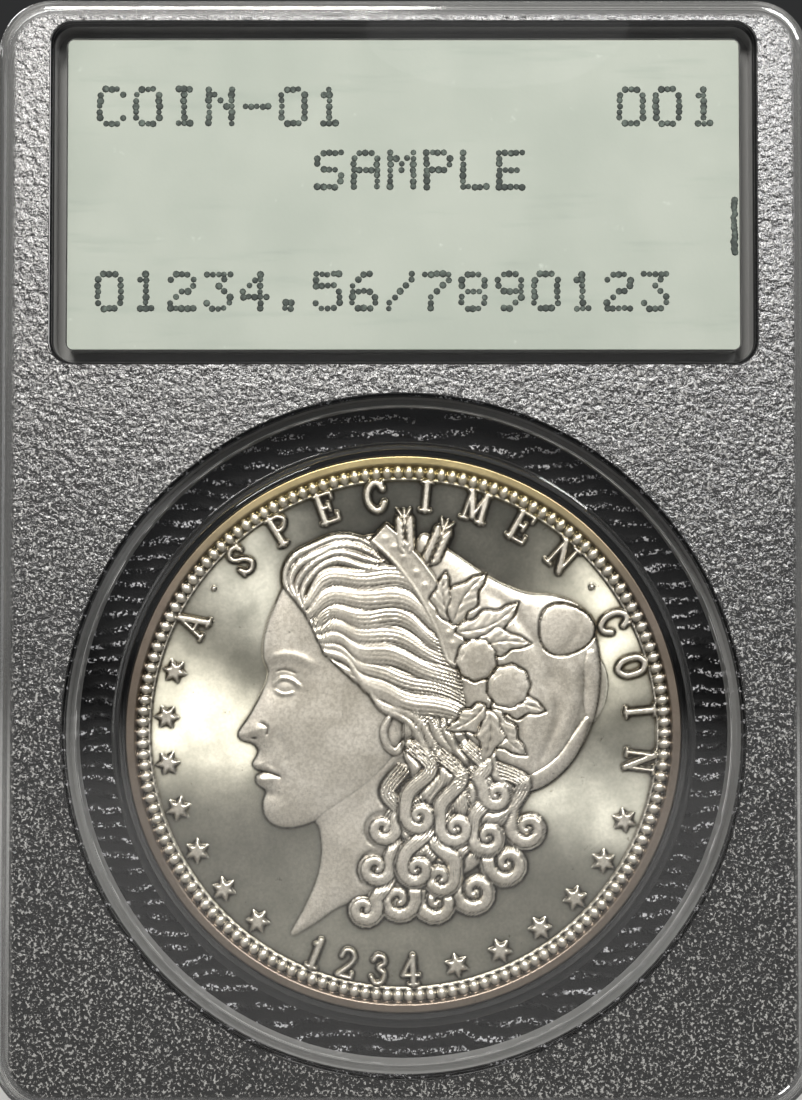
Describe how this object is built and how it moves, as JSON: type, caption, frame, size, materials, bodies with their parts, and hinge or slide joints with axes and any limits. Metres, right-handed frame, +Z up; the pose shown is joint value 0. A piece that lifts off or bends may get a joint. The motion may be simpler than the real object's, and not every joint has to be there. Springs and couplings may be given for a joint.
{
  "type": "graded coin slab",
  "caption": "Clear welded plastic case that displays and protects a large silver coin, with a paper label in a window above it.",
  "frame": {"origin": "centre of the bottom edge that the slab stands on", "axes": "+Z up along the height, +X along the width, to the right as seen from the front, and -Y out of the front face"},
  "size_m": [0.0556, 0.006, 0.076],
  "materials": {
    "clear_front": "clear polystyrene, polished windows in a stippled panel",
    "clear_back": "clear polystyrene, polished windows in a stippled panel",
    "insert": "black, fine horizontal grain",
    "ring": "clear, polished",
    "coin": "struck silver, satin relief on brighter fields",
    "label": "pale green paper with dark dot print",
    "back_label": "pale green paper with a printed line pattern"
  },
  "bodies": {
    "case": {"front_shell": "clear_front", "back_shell": "clear_back", "core_insert": "insert", "coin_ring": "ring", "label_card": "label", "back_card": "back_label"},
    "loose_coin": {"coin": "coin"}
  },
  "joints": [
    {"name": "coin_spin", "type": "hinge", "parent": "case", "child": "loose_coin", "pos_m": [0, 0, 0.0256], "axis": [0, 1, 0], "continuous": true}
  ]
}
